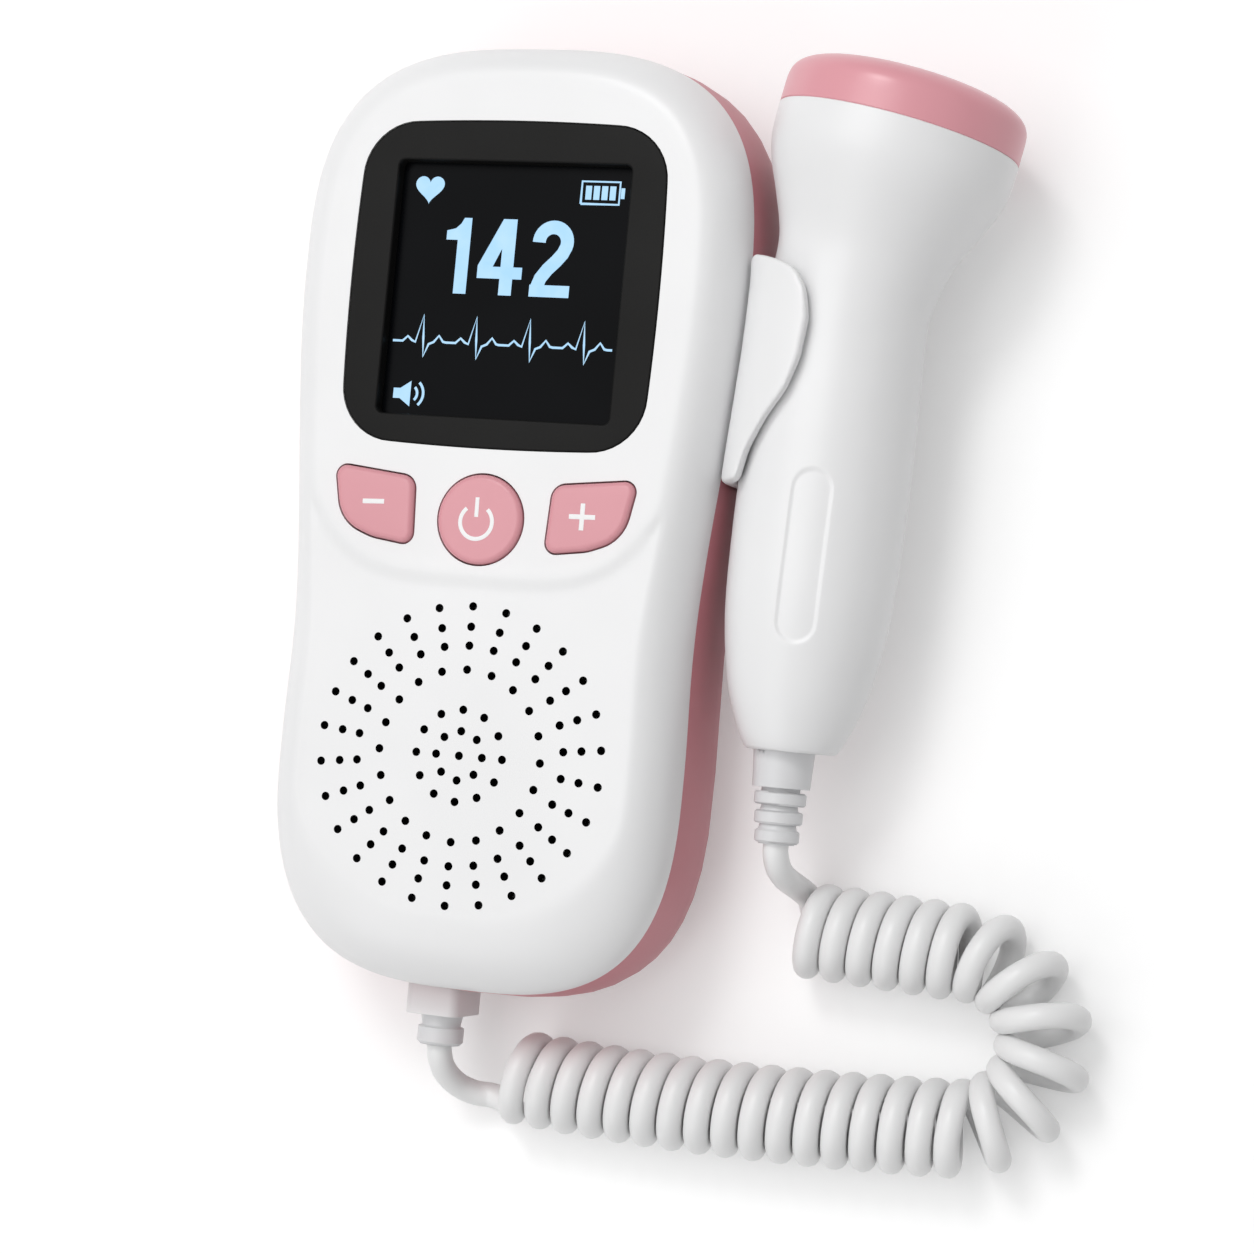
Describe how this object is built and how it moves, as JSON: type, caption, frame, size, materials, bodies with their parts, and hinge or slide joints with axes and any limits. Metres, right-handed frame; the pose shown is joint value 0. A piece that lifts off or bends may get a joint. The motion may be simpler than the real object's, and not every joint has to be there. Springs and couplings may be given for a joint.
{
  "type": "fetal doppler monitor",
  "caption": "Hand-held heartbeat monitor with a display, buttons and speaker grille, and an ultrasound probe clipped to its side on a curly cord.",
  "frame": {"origin": "on the flat back of the case, midway along it", "axes": "+Z out of the front, +Y to the display end, +X to the probe's side"},
  "size_m": [0.1296, 0.1664, 0.0376],
  "materials": {
    "white_plastic": "smooth satin",
    "pink_plastic": "satin",
    "button_pink": "satin",
    "cap_pink": "satin",
    "bezel_black": "matte",
    "dark_glass": "clear over a dark display",
    "lcd_frame": "brushed",
    "board": "solder mask",
    "steel": "plain",
    "foam": "soft",
    "speaker_paper": "paper",
    "cell_sleeve": "sleeve",
    "black_plastic": "moulded",
    "brass": "plated",
    "relief_grey": "satin",
    "cord_white": "satin",
    "ceramic": "fired"
  },
  "bodies": {
    "main": {"front_shell": "white_plastic", "rear_shell": "pink_plastic", "screen_bezel": "bezel_black", "display_glass": "dark_glass", "lcd_module": "lcd_frame", "lcd_holder": "white_plastic", "main_board": "board", "board_screws": "steel", "tact_switches": "steel", "speaker_gasket": "foam", "speaker_frame": "steel", "speaker_cone": "speaker_paper", "speaker_magnet": "steel", "battery_cells": "cell_sleeve", "battery_contacts": "steel", "earphone_jack": "black_plastic", "probe_socket": "black_plastic", "case_screws": "steel", "probe_clip": "white_plastic", "clip_screws": "steel", "cord_plug_lead": "cord_white", "curly_cord": "cord_white", "cord_probe_lead": "cord_white"},
    "minus_button": {"minus_button": "button_pink"},
    "power_button": {"power_button": "button_pink"},
    "plus_button": {"plus_button": "button_pink"},
    "door": {"battery_door": "pink_plastic"},
    "probe": {"probe_body": "white_plastic", "probe_cap": "cap_pink", "transducer_discs": "ceramic", "transducer_backing": "foam", "probe_board": "board", "probe_strain_relief": "relief_grey"},
    "plug": {"plug_housing": "white_plastic", "plug_pins": "brass", "plug_strain_relief": "relief_grey"}
  },
  "joints": [
    {"name": "minus_press", "type": "slide", "parent": "main", "child": "minus_button", "axis": [0, 0, -1], "range_m": [0, 0.0008], "stiffness_N_per_m": 1200, "springref_m": -0.0005},
    {"name": "power_press", "type": "slide", "parent": "main", "child": "power_button", "axis": [0, 0, -1], "range_m": [0, 0.0008], "stiffness_N_per_m": 1200, "springref_m": -0.0005},
    {"name": "plus_press", "type": "slide", "parent": "main", "child": "plus_button", "axis": [0, 0, -1], "range_m": [0, 0.0008], "stiffness_N_per_m": 1200, "springref_m": -0.0005},
    {"name": "battery_door_swing", "type": "hinge", "parent": "main", "child": "door", "pos_m": [0, 0.0341, 0], "axis": [1, 0, 0], "range_deg": [0, 60]},
    {"name": "probe_release", "type": "slide", "parent": "main", "child": "probe", "axis": [1, 0, 0], "range_m": [0, 0.045], "deforming": ["cord_probe_lead", "curly_cord"]},
    {"name": "plug_pull", "type": "slide", "parent": "main", "child": "plug", "axis": [0, -1, 0], "range_m": [0, 0.009], "deforming": ["cord_plug_lead", "curly_cord"]}
  ]
}
